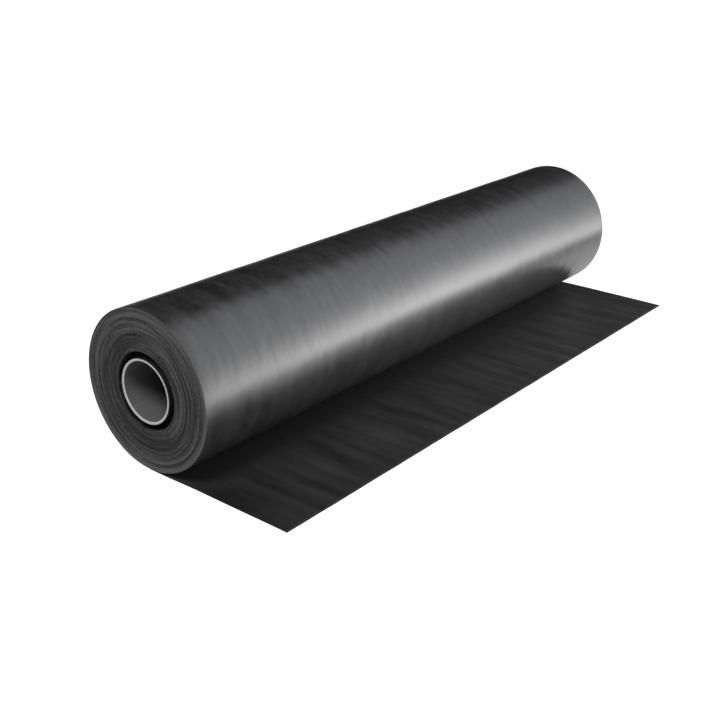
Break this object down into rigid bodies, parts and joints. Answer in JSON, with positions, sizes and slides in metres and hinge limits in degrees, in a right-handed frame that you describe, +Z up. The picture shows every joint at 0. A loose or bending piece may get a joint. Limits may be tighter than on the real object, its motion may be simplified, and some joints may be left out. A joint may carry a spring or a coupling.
{
  "type": "roll of construction film",
  "caption": "Roll of black plastic construction film wound on a grey core tube, lying on the floor with its loose end unrolled flat in front, ready to be cut or pulled off.",
  "frame": {"origin": "on the floor, at the middle of the footprint of the roll and its loose end", "axes": "+X along the roll's axis, +Z up, and the loose end runs forward towards -Y"},
  "size_m": [1, 0.345, 0.2179],
  "materials": {
    "film": "satin black polyethylene film",
    "core": "grey extruded plastic with a pale cut rim"
  },
  "bodies": {
    "root": {"film": "film", "core_tube": "core"}
  },
  "joints": []
}
